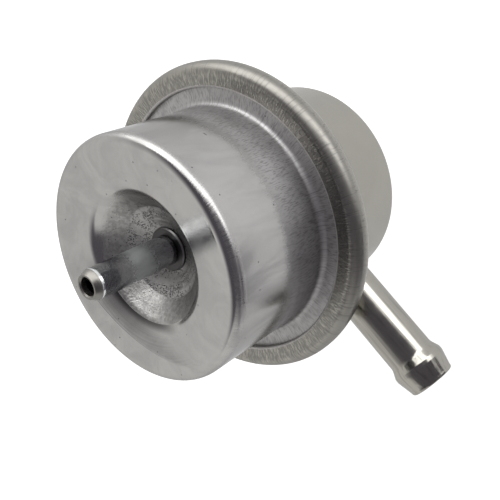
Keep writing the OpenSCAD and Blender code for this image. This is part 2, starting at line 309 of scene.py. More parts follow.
def quad_grid(name, lines):
    """An open mesh through rows of points, in metres."""
    mesh = bmesh.new()
    rows = [[mesh.verts.new(point) for point in line] for line in lines]
    for a, b in zip(rows, rows[1:]):
        for i in range(len(a) - 1):
            mesh.faces.new((a[i], a[i + 1], b[i + 1], b[i]))
    return to_object(name, mesh)


def dress(obj, material, slot, body, *nodes):
    """Gives a piece its finish and its body, and lets it stand for its nodes."""
    obj.data.materials.clear()
    obj.data.materials.append(material)
    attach(obj, body)
    if nodes:
        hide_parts(*nodes)


def dress_between(obj, material, node):
    """Gives a piece its finish, bakes its place into its mesh, and lets it stand for its node."""
    obj.data.materials.clear()
    obj.data.materials.append(material)
    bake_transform(obj)
    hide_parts(node)


# Share of the usual brightening at grazing angles that a plated surface keeps
EDGE_TINT = (0.8, 0.8, 0.8, 1)
DULL_TINT = (0.65, 0.65, 0.65, 1)


class Nodes:
    """Short calls for building a node tree."""

    def __init__(self, tree):
        self.tree = tree
        self.tree.nodes.clear()

    def add(self, kind, **settings):
        node = self.tree.nodes.new(kind)
        for key, value in settings.items():
            setattr(node, key, value)
        return node

    def link(self, source, target):
        self.tree.links.new(source, target)

    def feed(self, target, value):
        if isinstance(value, bpy.types.NodeSocket):
            self.link(value, target)
        else:
            target.default_value = value

    def math(self, operation, a, b=0.0, clamp=False):
        node = self.add("ShaderNodeMath", operation=operation, use_clamp=clamp)
        self.feed(node.inputs[0], a)
        self.feed(node.inputs[1], b)
        return node.outputs[0]

    def plus(self, a, b):
        return self.math("ADD", a, b)

    def minus(self, a, b):
        return self.math("SUBTRACT", a, b)

    def times(self, a, b):
        return self.math("MULTIPLY", a, b)

    def larger(self, a, b):
        return self.math("MAXIMUM", a, b)

    def vector(self, operation, a, b=(0.0, 0.0, 0.0)):
        node = self.add("ShaderNodeVectorMath", operation=operation)
        self.feed(node.inputs[0], a)
        self.feed(node.inputs[1], b)
        return node.outputs["Value" if operation in ("DOT_PRODUCT", "LENGTH") else "Vector"]

    def span(self, value, from_low, from_high, to_low=0.0, to_high=1.0):
        node = self.add("ShaderNodeMapRange", interpolation_type="SMOOTHSTEP")
        for target, source in zip(node.inputs, (value, from_low, from_high, to_low, to_high)):
            self.feed(target, source)
        return node.outputs["Result"]

    def noise(self, vector, scale, detail=3.0, roughness=0.55, distortion=0.0):
        node = self.add("ShaderNodeTexNoise")
        self.feed(node.inputs["Vector"], vector)
        node.inputs["Scale"].default_value = scale
        node.inputs["Detail"].default_value = detail
        node.inputs["Roughness"].default_value = roughness
        node.inputs["Distortion"].default_value = distortion
        return node.outputs["Fac"]

    def mix(self, factor, a, b):
        node = self.add("ShaderNodeMix", data_type="RGBA")
        self.feed(node.inputs["Factor"], factor)
        self.feed(node.inputs["A"], a)
        self.feed(node.inputs["B"], b)
        return node.outputs["Result"]

    def combine(self, x, y, z):
        node = self.add("ShaderNodeCombineXYZ")
        for target, source in zip(node.inputs, (x, y, z)):
            self.feed(target, source)
        return node.outputs["Vector"]

    def show(self, shader, kind="ShaderNodeOutputMaterial"):
        """Makes a shader the surface that is seen."""
        self.link(shader, self.add(kind).inputs["Surface"])


def new_material(name):
    """A material, and the calls for its empty node tree."""
    material = bpy.data.materials.new(name)
    material.use_nodes = True
    return material, Nodes(material.node_tree)


class Finish(Nodes):
    """A finish, metal unless it is told otherwise, with its place on the part in millimetres."""

    def __init__(self, name, tint=EDGE_TINT):
        self.material = bpy.data.materials.new(name)
        self.material.use_nodes = True
        super().__init__(self.material.node_tree)
        self.bsdf = self.add("ShaderNodeBsdfPrincipled")
        self.bsdf.inputs["Metallic"].default_value = 1.0
        self.bsdf.inputs["Specular Tint"].default_value = tint
        self.show(self.bsdf.outputs["BSDF"])
        coordinates = self.add("ShaderNodeTexCoord").outputs["Object"]
        scale = self.add("ShaderNodeVectorMath", operation="SCALE")
        self.link(coordinates, scale.inputs[0])
        scale.inputs["Scale"].default_value = 1 / MM
        self.place = scale.outputs["Vector"]
        split = self.add("ShaderNodeSeparateXYZ")
        self.link(self.place, split.inputs[0])
        self.x, self.y, self.z = split.outputs
        self.radius = self.vector("LENGTH", self.vector("MULTIPLY", self.place, (1.0, 1.0, 0.0)))

    def around(self, pitch, run):
        """Coordinates that change quickly round the axis and slowly along the surface."""
        direction = self.vector("NORMALIZE", self.vector("MULTIPLY", self.place, (1.0, 1.0, 0.0)))
        wide = self.vector("MULTIPLY", direction, (pitch, pitch, 0.0))
        along = self.times(self.plus(self.radius, self.z), run)
        return self.vector("ADD", wide, self.combine(0.0, 0.0, along))

    def bump(self, height, distance):
        node = self.add("ShaderNodeBump")
        node.inputs["Strength"].default_value = 1.0
        node.inputs["Distance"].default_value = distance * MM
        self.link(height, node.inputs["Height"])
        return node.outputs["Normal"]

    def specks(self, density, size, share):
        """1 inside small round marks: cells per millimetre, mark radius in cells, share of cells."""
        node = self.add("ShaderNodeTexVoronoi")
        self.link(self.place, node.inputs["Vector"])
        node.inputs["Scale"].default_value = density
        chosen = self.math("LESS_THAN", self.vector("DOT_PRODUCT", node.outputs["Color"], (1, 0, 0)), share)
        return self.times(chosen, self.span(node.outputs["Distance"], size, size / 2))

    def finish(self, colour, roughness, normal=None):
        self.feed(self.bsdf.inputs["Base Color"], colour)
        self.feed(self.bsdf.inputs["Roughness"], roughness)
        if normal:
            self.link(normal, self.bsdf.inputs["Normal"])
        return self.material


ZINC_DARK = (0.36, 0.355, 0.35, 1)
ZINC_LIGHT = (0.415, 0.41, 0.402, 1)
OLIVE_DARK = (0.33, 0.32, 0.29, 1)
OLIVE_LIGHT = (0.39, 0.38, 0.345, 1)
PIT_COLOUR = (0.055, 0.055, 0.06, 1)
# Dark colour of real streaks, also used for painted shade
STREAK_AND_SHADE_COLOUR = (0.14, 0.135, 0.13, 1)
# Colour of painted shade in the crease of the dish and on the ring at the nipple's root
PAINTED_SHADE_COLOUR = (0.07, 0.068, 0.068, 1)
FROST_COLOUR = (0.51, 0.50, 0.505, 1)
TUBE_DARK = (0.48, 0.48, 0.495, 1)
# Light colour of the reflections painted in bands on the nipple
TUBE_REFLECTION_PAINT = (0.76, 0.8, 0.795, 1)
TIP_COLOUR = (0.23, 0.222, 0.207, 1)
# Colour of painted glints on the lip of the rim and on the chamfer of the nipple's ring
PAINTED_GLINT_COLOUR = (0.6, 0.59, 0.58, 1)
RUBBER_DARK = (0.03, 0.03, 0.032, 1)
RUBBER_LIGHT = (0.065, 0.064, 0.062, 1)

# Metals inside the housing by slot: name, darker and lighter colour, roughness
INNER_METALS = {
    "spring_steel": ("oiled_wire", (0.2, 0.2, 0.21, 1), (0.3, 0.3, 0.32, 1), 0.25),
    "bare_steel": ("pressed_steel", (0.4, 0.4, 0.4, 1), (0.5, 0.5, 0.5, 1), 0.25),
    "polished_steel": ("polished_steel", (0.6, 0.6, 0.6, 1), (0.68, 0.68, 0.68, 1), 0.06),
    "brass": ("turned_brass", (0.6, 0.45, 0.2, 1), (0.72, 0.56, 0.27, 1), 0.2),
}

# The values between which a noise mostly lies
MID = (0.3, 0.7)

# The coarse finish of the dish starts at COARSE_R. It is full further in, at the first radius on the
# near side and at the second on the pulled side of the mouth
COARSE_R = 10.5
COARSE_FULL_R = (COARSE_R - 1.5, COARSE_R - 0.1)
COARSE_SIDE = (0.0, 8.0)

# Zones of the finishes, each from the value where it starts to the value where it is full: R is a
# radius, Z a height, W a distance from a line, and SIDE one from the axis towards the pulled side
DISH_FLOOR_ZONE_R = (DISH_FOOT_R + 0.3, DISH_FOOT_R - 0.3)
FOOT_HAIR_Z = (12.6, 8.6)
EDGE_HAIR_R = (18.5, 18.85)
EDGE_HAIR_Z = (18.9, 19.5)
BURNISH_IN_R = (17.3, 17.7)
BURNISH_OUT_R = (18.9, 18.5)
# The next six zones bound painted shade: the nipple's shadow on the floor of the dish, and shade in the
# crease and on the dented face of the pulled side
RING_SHADE_R = (6.6, 4.6)
RING_SHADE_SIDE = (1.0, 3.5)
CREASE_R = (12.1, COARSE_R)
CREASE_SIDE = (6.0, 9.5)
CREASE_SHADE_W = (0.2, -0.5)
CREASE_SHADE_SIDE = (8.5, 12.0)
SAG_LINE_W = (0.14, 0.0)
SAG_LINE_SIDE = (11.8, 13.2)
RIM_HAIR_R = (21.4, 22.4)
RIM_HAIR_Z = (-1.8, 0.0)
RIM_STREAK_SHADE_R = (24.3, 25.7)
RIM_OUTER_R = (24.6, 25.6)
RIM_OUTER_Z = (-0.4, 0.4)
# The lip line bounds a painted glint along the edge of the lip
LIP_LINE_W = (0.24, 0.1)
LIP_LINE_Z = (1.1, 1.3)
# The frost zone is rougher and, with the next zone, bounds the lighter bands of painted reflection on the
# nipple
FROST_SHEEN_IN_Z = (16.0, 21.0)
FROST_SHEEN_OUT_Z = (25.2, 21.6)
SHEEN_END_Z = (25.0, 26.0)
# The ring zone bounds painted shade and a duller finish at the tube's root; the ring edge zone bounds a
# painted glint
RING_ZONE_R = (NIPPLE_R + 0.02, NIPPLE_R + 0.06)
RING_ZONE_Z = (RING_TOP + 0.6, RING_TOP)
RING_EDGE_R = (RING_R - RING_C - 0.02, RING_R - RING_C + 0.05)
RING_EDGE_Z = (RING_TOP - RING_C - 0.05, RING_TOP - RING_C)
TIP_ZONE_Z = (NIPPLE_TAPER_Z - 0.05, NIPPLE_TAPER_Z)

# One short scratch on the wall, and how much narrower it is than 1 mm along each axis
NICK_SPOT = (-6.52, 18.11, 11.56)
NICK_SCALE = (2.0, 2.0, 9.0)

# Pitch of the tool rings on the floor of the dish, and of the weave in the rubber
TOOL_PITCH = 0.9
WEAVE_PITCH = 0.5

# How fine the streaks of a drawn tail are along each axis
DRAWN_ALONG_X = (0.08, 1.6, 1.6)
DRAWN_ALONG_Z = (1.6, 1.6, 0.08)


def cup_metal():
    """Satin zinc on the drawn face and wall, coarse and pitted inside the dish, hairy at the foot, with
    painted shade in the crease of the pulled side and a painted shadow of the nipple on the floor of the
    dish.
    """
    m = Finish("spring_housing_plate", DULL_TINT)
    drawn = m.vector("MULTIPLY", m.place, (1.0, 1.0, 0.4))
    smudge = m.span(m.noise(drawn, 0.2, 4.0, 0.6, 0.8), *MID)
    grain = m.noise(m.place, 3.0, 2.0, 0.5)
    hair = m.noise(m.around(140.0, 1.0), 1.0, 1.5, 0.55, 0.3)
    in_dish = m.span(m.radius, COARSE_R, sag_side(m, *COARSE_SIDE, *COARSE_FULL_R))
    on_floor = m.span(m.radius, *DISH_FLOOR_ZONE_R)
    on_wall = m.minus(in_dish, m.times(on_floor, 0.75))
    ragged = m.plus(m.z, m.times(hair, 3.0))
    at_foot = m.times(m.minus(1.0, in_dish), m.span(ragged, *FOOT_HAIR_Z))
    on_edge = m.times(m.span(m.radius, *EDGE_HAIR_R), m.span(m.z, *EDGE_HAIR_Z))
    burnish = m.times(m.span(m.radius, *BURNISH_IN_R), m.span(m.radius, *BURNISH_OUT_R))
    pit = floor_pits(m, on_floor)

    colour = m.mix(smudge, ZINC_DARK, ZINC_LIGHT)
    colour = m.mix(m.times(at_foot, 0.7), colour, FROST_COLOUR)
    colour = m.mix(m.times(at_foot, m.span(hair, 0.55, 0.35, 0.0, 0.5)), colour, STREAK_AND_SHADE_COLOUR)
    mottle = m.span(m.noise(m.place, 1.5, 3.0, 0.6), 0.38, 0.62, 0.52, 0.16)
    colour = m.mix(m.times(on_wall, mottle), colour, STREAK_AND_SHADE_COLOUR)
    # Painted shade in the crease and on the dented face of the pulled side, faded out inside the dish
    crease_shade_share = m.times(painted_crease_shade(m), m.math("SUBTRACT", 0.9, in_dish, clamp=True))
    colour = m.mix(crease_shade_share, colour, PAINTED_SHADE_COLOUR)
    # Painted shade round the nipple on the floor of the dish, on the pulled side, for its shadow and dark
    # reflection there
    painted_nipple_shadow = m.times(m.span(m.radius, *RING_SHADE_R, 0.0, 0.75), sag_side(m, *RING_SHADE_SIDE))
    colour = m.mix(painted_nipple_shadow, colour, STREAK_AND_SHADE_COLOUR)
    speck = m.specks(0.5, 0.07, 0.9)
    spot = m.times(m.specks(1.7, 0.2, 0.5), in_dish)
    marks = m.larger(m.larger(speck, pit), m.larger(spot, nick(m)))
    colour = m.mix(marks, colour, PIT_COLOUR)

    satin = m.span(smudge, 0.0, 1.0, 0.24, 0.17)
    coarse = m.plus(m.times(in_dish, 0.2), m.times(at_foot, 0.28))
    coarse = m.plus(coarse, m.times(on_edge, m.span(hair, 0.35, 0.65, 0.06, 0.16)))
    coarse = m.minus(coarse, m.times(burnish, 0.07))

    rings = m.math("SINE", m.times(m.radius, math.tau / TOOL_PITCH))
    height = m.plus(grain, m.times(m.times(rings, 0.2), on_floor))
    height = m.minus(height, m.times(pit, 0.8))
    height = m.times(height, m.span(in_dish, 0.0, 1.0, 0.02, 1.1))
    hairy = m.plus(m.times(at_foot, 0.5), m.times(on_edge, 0.3))
    height = m.plus(height, m.times(hair, hairy))
    height = m.plus(height, m.times(sag_line(m), 0.5))
    return m.finish(colour, m.plus(satin, coarse), m.bump(height, 0.05))


def floor_pits(m, on_floor):
    """1 inside the fine pits that lie in clouds on the floor of the dish."""
    cloud = m.noise(m.place, 0.5, 2.0)
    return m.times(m.specks(4.4, 0.5, 0.95), m.times(on_floor, m.span(cloud, 0.35, 0.55)))


def nick(m):
    """1 inside one short scratch on the wall."""
    away = m.vector("SUBTRACT", m.place, NICK_SPOT)
    return m.span(m.vector("LENGTH", m.vector("MULTIPLY", away, NICK_SCALE)), 1.0, 0.5)


def sag_side(m, near, far, at_near=0.0, at_far=1.0):
    """From one value to another over a distance from the axis towards the side that was pulled down."""
    toward = m.vector("DOT_PRODUCT", m.place, (math.cos(SAG_TURN), math.sin(SAG_TURN), 0.0))
    return m.span(toward, near, far, at_near, at_far)


def sag_reach(m):
    """Distance past the wide arc on which the pulled side of the face begins."""
    away = m.vector("SUBTRACT", m.combine(m.x, m.y, 0.0), (SAG_CENTRE.x, SAG_CENTRE.y, 0.0))
    return m.minus(m.vector("LENGTH", away), SAG_R)


def painted_crease_shade(m):
    """Painted shade: 1 at the crease on the pulled side of the mouth, and less out to the arc, in faint
    rings that paint the darker reflection of the dented face.
    """
    crease = m.times(m.span(m.radius, *CREASE_R), sag_side(m, *CREASE_SIDE))
    lines = m.span(m.noise(m.combine(m.radius, 0.0, 0.0), 3.5, 2.0), 0.35, 0.65, 0.28, 0.44)
    inside = m.times(m.span(sag_reach(m), *CREASE_SHADE_W), sag_side(m, *CREASE_SHADE_SIDE))
    return m.larger(crease, m.times(inside, lines))


def sag_line(m):
    """1 on the faint line along the arc."""
    off = m.math("ABSOLUTE", sag_reach(m))
    return m.times(m.span(off, *SAG_LINE_W), sag_side(m, *SAG_LINE_SIDE))


def rim_metal():
    """Zinc drawn over the rim in short hairy streaks, smooth and warmer on the cup; the streaks thicken
    inwards, where they also paint the ragged dark edge inside the highlight, and a painted glint lies along
    the lip.
    """
    m = Finish("fuel_housing_plate")
    hair = m.noise(m.around(135.0, 0.9), 1.0, 1.5, 0.55, 0.3)
    smudge = m.noise(m.place, 0.12, 4.0, 0.6, 0.6)
    grain = m.noise(m.place, 2.2, 2.0, 0.5)
    on_rim = m.times(m.span(m.radius, *RIM_HAIR_R), m.span(m.z, *RIM_HAIR_Z))
    outer = m.times(m.span(m.radius, *RIM_OUTER_R), m.span(m.z, *RIM_OUTER_Z))
    lip_off = m.math("ABSOLUTE", m.minus(m.radius, LIP_LINE_R))
    lip = m.times(m.span(lip_off, *LIP_LINE_W), m.span(m.z, *LIP_LINE_Z))

    colour = m.mix(smudge, OLIVE_DARK, OLIVE_LIGHT)
    # Real hair streaks, made denser inwards so that they also paint the ragged dark inner edge of the rim's
    # highlight
    hair_and_band_shade = m.plus(hair, m.span(m.radius, *RIM_STREAK_SHADE_R, -0.07, 0.12))
    streak = m.times(m.span(hair_and_band_shade, 0.56, 0.4, 0.1, 0.64), on_rim)
    colour = m.mix(streak, colour, STREAK_AND_SHADE_COLOUR)
    colour = m.mix(m.times(outer, 0.4), colour, STREAK_AND_SHADE_COLOUR)
    # A painted glint along the lip's edge, which is also rougher there
    colour = m.mix(lip, colour, PAINTED_GLINT_COLOUR)

    rough = m.plus(0.2, m.times(on_rim, m.span(hair, *MID, 0.14, 0.04)))
    rough = m.plus(rough, m.plus(m.times(lip, 0.25), m.times(outer, 0.12)))
    height = m.plus(m.times(hair, on_rim), m.times(grain, 0.08))
    return m.finish(colour, rough, m.bump(height, 0.03))


def tail_metal(name, drawn):
    """Bright zinc with fine streaks along the way that a hose tail was drawn."""
    m = Finish(name)
    smudge = m.noise(m.place, 0.25, 3.0, 0.6, 0.4)
    streak = m.noise(m.vector("MULTIPLY", m.place, drawn), 1.0, 2.0, 0.5, 0.4)
    colour = m.mix(smudge, OLIVE_DARK, OLIVE_LIGHT)
    colour = m.mix(m.span(streak, 0.5, 0.3, 0.0, 0.35), colour, STREAK_AND_SHADE_COLOUR)
    rough = m.plus(m.span(smudge, *MID, 0.12, 0.18), m.span(streak, *MID, 0.05, 0.0))
    return m.finish(colour, rough, m.bump(streak, 0.03))


def braze_metal():
    """Dull braze with the ripples of a torch."""
    m = Finish("braze")
    ripple = m.noise(m.place, 1.6, 2.0, 0.5, 0.5)
    colour = m.mix(ripple, OLIVE_DARK, OLIVE_LIGHT)
    return m.finish(colour, m.span(ripple, *MID, 0.22, 0.34), m.bump(ripple, 0.06))


def nipple_metal():
    """Dark bright tube, duller in the middle, with lighter bands painted on the middle and near the end for
    reflections, a painted glint on the ring's chamfer, and the ring at its root duller and darkened with
    painted shade.
    """
    m = Finish("nipple_plate")
    cloud = m.noise(m.place, 2.6, 2.0)
    # Lighter bands painted on the middle and near the end of the tube for reflections; the middle band is
    # also rougher
    frost_and_sheen = m.times(m.span(m.z, *FROST_SHEEN_IN_Z), m.span(m.z, *FROST_SHEEN_OUT_Z))
    bright = m.larger(frost_and_sheen, m.span(m.z, *SHEEN_END_Z, 0.0, 0.5))
    bright = m.math("ADD", bright, m.span(cloud, *MID, -0.1, 0.1), clamp=True)
    on_ring = m.larger(m.span(m.radius, *RING_ZONE_R), m.span(m.z, *RING_ZONE_Z))
    ring_edge_glint = m.times(m.span(m.radius, *RING_EDGE_R), m.span(m.z, *RING_EDGE_Z))
    at_tip = m.span(m.z, *TIP_ZONE_Z)
    colour = m.mix(bright, TUBE_DARK, TUBE_REFLECTION_PAINT)
    colour = m.mix(at_tip, colour, TIP_COLOUR)
    # Painted shade darkens the ring and the root of the tube at the bottom of the dish
    colour = m.mix(on_ring, colour, PAINTED_SHADE_COLOUR)
    # A painted glint on the chamfer of the ring
    colour = m.mix(m.times(ring_edge_glint, 0.35), colour, PAINTED_GLINT_COLOUR)
    dull = m.times(m.larger(m.larger(on_ring, at_tip), frost_and_sheen), 0.24)
    return m.finish(colour, m.plus(m.span(cloud, *MID, 0.1, 0.16), dull))


def turned_metal(name, dark, light, rough):
    """Metal with faint tool rings round the axis."""
    m = Finish(name)
    cloud = m.noise(m.place, 0.8, 3.0, 0.6)
    rings = m.noise(m.combine(m.radius, m.z, 0.0), 5.0, 2.0)
    colour = m.mix(cloud, dark, light)
    return m.finish(colour, m.span(cloud, *MID, rough, rough + 0.1), m.bump(rings, 0.01))


def cloth_rubber():
    """Matt rubber that shows the weave of the cloth in it."""
    m = Finish("diaphragm_cloth")
    m.bsdf.inputs["Metallic"].default_value = 0.0
    warp = m.math("SINE", m.times(m.x, math.tau / WEAVE_PITCH))
    weft = m.math("SINE", m.times(m.y, math.tau / WEAVE_PITCH))
    weave = m.times(warp, weft)
    cloud = m.noise(m.place, 0.5, 3.0)
    colour = m.mix(cloud, RUBBER_DARK, RUBBER_LIGHT)
    return m.finish(colour, m.span(weave, -1.0, 1.0, 0.55, 0.75), m.bump(weave, 0.03))


def inner_finishes():
    """The finishes of what the housing hides, by material slot."""
    finishes = {"rubber_cloth": cloth_rubber()}
    for slot, values in INNER_METALS.items():
        finishes[slot] = turned_metal(*values)
    return finishes


def dress_inner_nodes(finishes):
    """Gives the solids that stay as they are a finish of their own."""
    for part in frame["record"]["subparts"]:
        if part["node"] not in REPLACED_NODES:
            for slot in frame["nodes"][part["node"]].material_slots:
                slot.material = finishes[part["material_slot"]]


def wavy(spot):
    """A spot moved in or out by the slight waves of drawn sheet."""
    out = Vector((spot.x, spot.y, 0.0)).normalized()
    wave = noise.noise(spot / WAVE_PITCH) * WAVE_H
    return spot + out * wave


def pressed(spot):
    """Waves of drawn sheet, and the mouth of the dish pulled down on one side."""
    spot = wavy(spot)
    r = math.hypot(spot.x, spot.y)
    off = abs((math.atan2(spot.y, spot.x) - SAG_TURN + math.pi) % math.tau - math.pi)
    share = max(0.0, min(1.0, (SAG_END - off) / (SAG_END - SAG_FULL)))
    inside = max(0.0, SAG_EDGE_R - r)
    face_z = MOUTH_Z + (r - DISH_R) * math.tan(FACE_SLOPE)
    wall_z = MOUTH_Z + (r - DISH_R) * math.tan(DISH_SLOPE)
    if r > DISH_FOOT_R and spot.z > min(face_z, wall_z) - SHEET / 2:
        sag = min(0.0, face_z - SAG_RATE * inside ** 2 - spot.z)
        spot.z += sag * share * share * (3 - 2 * share)
    return spot


def make_spring_housing(material):
    path = bent([
        (FLANGE_R, FLANGE_TOP),
        (SPRING_R, FLANGE_TOP, FOOT_R),
        (SPRING_R, EDGE_Z, FRONT_EDGE_R),
        (DISH_R, MOUTH_Z, DISH_MOUTH_R),
        (DISH_FOOT_R, DISH_FOOT_Z, DISH_FLOOR_R),
        (RING_R + RING_LAND, FLOOR_Z, DISH_FLOOR_R),
        (NIPPLE_R, FLOOR_Z),
    ])
    obj = lathe("spring_housing_shell", sheet_outline(path, SHEET), longest=0.45, shape=pressed)
    dress(obj, material, "plated_steel", "housing", "spring_housing")


def make_fuel_housing(material):
    """The cup whose flange rolls over the stack and ends in a lip."""
    lip_top = FLANGE_TOP + SHEET
    drawn = [
        (TAIL_R, FUEL_BOTTOM),
        (FUEL_R, FUEL_BOTTOM, BOTTOM_EDGE_R),
        (FUEL_R, RIM_BOTTOM, SHOULDER_R),
        (RIM_R, RIM_BOTTOM, ROLL_R),
        (RIM_R, lip_top + LIP_RISE, ROLL_R),
    ]
    outside = bent(drawn + [(LIP_R, lip_top, LIP_EDGE_R), (LIP_R, FLANGE_TOP)])
    inside = bent(drawn + [(LIP_R, lip_top)])
    obj = lathe("fuel_housing_shell", face(outside, 0) + face(inside, SHEET)[::-1], segments=192)
    dress(obj, material, "plated_steel", "housing", "fuel_housing")


def make_nipple(material):
    corners = [
        (NIPPLE_BORE_R, NIPPLE_BOTTOM),
        (NIPPLE_R, NIPPLE_BOTTOM),
        (NIPPLE_R, FLOOR_Z),
        (RING_R, FLOOR_Z),
        (RING_R, RING_TOP - RING_C),
        (RING_R - RING_C, RING_TOP),
        (NIPPLE_R, RING_TOP),
        (NIPPLE_R, NIPPLE_TAPER_Z),
        (NIPPLE_R - NIPPLE_TAPER_T, NIPPLE_TOP),
        (NIPPLE_BORE_R + NIPPLE_BORE_C, NIPPLE_TOP),
        (NIPPLE_BORE_R, NIPPLE_TOP - NIPPLE_BORE_C),
    ]
    obj = lathe("nipple_tube", [Vector(corner) for corner in corners], segments=96, sharp_deg=40)
    dress(obj, material, "bright_steel", "housing", "vacuum_nipple")


def tail_outline(length):
    """Closed outline of a hose tail with one barb near its end."""
    lead = length - TIP_L - BARB_LEAD
    land = lead - BARB_LAND
    path = bent([
        (TAIL_R, 0.0),
        (TAIL_R, land - BARB_BACK, BARB_BACK_R),
        (BARB_R, land, BARB_EDGE_R),
        (BARB_R, lead, BARB_EDGE_R),
        (TAIL_R, length - TIP_L, BARB_LEAD_R),
        (TAIL_R, length, TIP_EDGE_R),
        (TAIL_BORE_R, length),
    ])
    return face(path, 0) + [Vector((TAIL_BORE_R, 0.0))]


def make_tail(name, node, length, start, turn, axis, material):
    """A hose tail from its start in millimetres, turned from +Z about one axis."""
    obj = lathe(name, tail_outline(length), segments=128, longest=0.8)
    obj.data.transform(Matrix.Translation(Vector(start) * MM) @ Matrix.Rotation(turn, 4, axis))
    dress(obj, material, "bright_steel", "housing", node)


def braze_profile():
    """Closed hollow fillet: distance from the tail's axis, height above the cup."""
    points = []
    for i in range(BRAZE_STEPS + 1):
        angle = math.pi / 2 * i / BRAZE_STEPS
        out = TAIL_R + BRAZE_W * (1 - math.cos(angle))
        points.append(Vector((out, BRAZE_W * (1 - math.sin(angle)))))
    points.append(Vector((TAIL_R + BRAZE_W, -BRAZE_SUNK)))
    points.append(Vector((TAIL_R - BRAZE_SUNK, -BRAZE_SUNK)))
    points.append(Vector((TAIL_R - BRAZE_SUNK, BRAZE_W)))
    return points


def on_round_cup(spot):
    """Bends a fillet that lies flat at z = 0 on to the side of the cup, round the inlet tail."""
    return Vector((math.sqrt(FUEL_R ** 2 - spot.y ** 2) + spot.z, spot.y, INLET_Z - spot.x))


def make_brazes(material):
    inlet = lathe("inlet_braze", braze_profile(), segments=128, shape=on_round_cup)
    dress(inlet, material, "bright_steel", "housing")
    below = [Vector((r, FUEL_BOTTOM - h)) for r, h in braze_profile()]
    ring = lathe("return_braze", below, segments=128)
    dress(ring, material, "bright_steel", "housing")


def coil_rise(turn, length):
    """Height of the wire's centre after some turns of a closed and ground coil."""
    open_turns = COIL_TURNS - 2 * COIL_DEAD_TURNS
    pitch = (length - 2 * COIL_GROUND - 2 * COIL_DEAD_TURNS * COIL_STEP) / open_turns
    if turn < COIL_DEAD_TURNS:
        return COIL_GROUND + turn * COIL_STEP
    if turn > COIL_TURNS - COIL_DEAD_TURNS:
        return length - COIL_GROUND - (COIL_TURNS - turn) * COIL_STEP
    return COIL_GROUND + COIL_DEAD_TURNS * COIL_STEP + (turn - COIL_DEAD_TURNS) * pitch


def make_main_spring(material):
    """The coil, from the main spring's foot to its top, in place of its node."""
    length = SPRING_TOP - SPRING_BOTTOM
    mesh = bmesh.new()
    rings = []
    for i in range(COIL_CUTS + 1):
        turn = COIL_TURNS * i / COIL_CUTS
        ring = []
        for j in range(WIRE_SIDES):
            angle = math.tau * (j + 0.5) / WIRE_SIDES
            r = COIL_R + WIRE_R * math.cos(angle)
            rise = min(length, max(0.0, coil_rise(turn, length) + WIRE_R * math.sin(angle)))
            x = r * math.cos(math.tau * turn)
            y = r * math.sin(math.tau * turn)
            ring.append(mesh.verts.new(Vector((x, y, SPRING_BOTTOM + rise)) * MM))
        rings.append(ring)
    for a, b in zip(rings, rings[1:]):
        for j in range(WIRE_SIDES):
            k = (j + 1) % WIRE_SIDES
            mesh.faces.new((a[j], b[j], b[k], a[k])).smooth = True
    mesh.faces.new(rings[0])
    mesh.faces.new(rings[-1][::-1])
    bmesh.ops.recalc_face_normals(mesh, faces=mesh.faces)
    obj = to_object("main_spring_coil", mesh)
    dress_between(obj, material, "main_spring")


def make_diaphragm(material):
    """The clamped bead up to the crest of the fold, and the middle that the valve lifts."""
    outer = bent([
        (FOLD_CREST_R, FOLD_TOP),
        (FOLD_OUT_R, FOLD_TOP, FOLD_BEND_R),
        (FOLD_OUT_R, MEMBRANE_BOTTOM, FOLD_FOOT_R),
        (BEAD_R - BEAD_W, MEMBRANE_BOTTOM),
    ])
    bead = [
        Vector((BEAD_R - BEAD_W, BEAD_BOTTOM)),
        Vector((BEAD_R, BEAD_BOTTOM)),
        Vector((BEAD_R, BEAD_BOTTOM + BEAD_H)),
        Vector((BEAD_R - BEAD_W, BEAD_BOTTOM + BEAD_H)),
    ]
    around = face(outer, 0) + bead + face(outer, MEMBRANE)[::-1]
    clamped = lathe("diaphragm_bead", around, segments=128)
    dress(clamped, material, "rubber_cloth", "housing", "diaphragm")
    inner = bent([
        (STEM_HOLE_R, MEMBRANE_BOTTOM),
        (FOLD_IN_R, MEMBRANE_BOTTOM, FOLD_FOOT_R),
        (FOLD_IN_R, FOLD_TOP, FOLD_BEND_R),
        (FOLD_CREST_R, FOLD_TOP),
    ])
    middle = lathe("diaphragm_middle", sheet_outline(inner, MEMBRANE), segments=128)
    dress_between(middle, material, "diaphragm")


def view_axes():
    """Right, up and back of the camera in the part's frame."""
    back = Vector((math.sin(VIEW_TILT), 0.0, math.cos(VIEW_TILT)))
    upright = Vector((-math.cos(VIEW_TILT), 0.0, math.sin(VIEW_TILT)))
    across = upright.cross(back)
    right = across * math.cos(VIEW_ROLL) + upright * math.sin(VIEW_ROLL)
    up = upright * math.cos(VIEW_ROLL) - across * math.sin(VIEW_ROLL)
    turn = Matrix.Rotation(VIEW_TURN, 3, "Z")
    return turn @ right, turn @ up, turn @ back


def make_camera():
    right, up, back = view_axes()
    data = bpy.data.cameras.new("camera")
    data.sensor_width = SENSOR_MM
    data.lens = FOCAL_PX / PHOTO_PX * SENSOR_MM
    data.clip_start = CLIP_START
    camera = bpy.data.objects.new("camera", data)
    spot = (back * VIEW_DISTANCE + right * VIEW_RIGHT + up * VIEW_UP) * MM
    axes = Matrix((right, up, back)).transposed().to_4x4()
    camera.matrix_world = Matrix.Translation(spot) @ axes
    bpy.context.scene.collection.objects.link(camera)
    bpy.context.scene.camera = camera


# Stage, in metres and radians
FLOOR_SIZE = 3.0
FLOOR_COLOUR = (0.6, 0.6, 0.6, 1)
FLOOR_GLOW = 0.62
VIEW_GLOW = 0.3
ROOM_COLOUR = (1.0, 0.99, 0.97, 1)
ROOM_LIGHT = 0.6

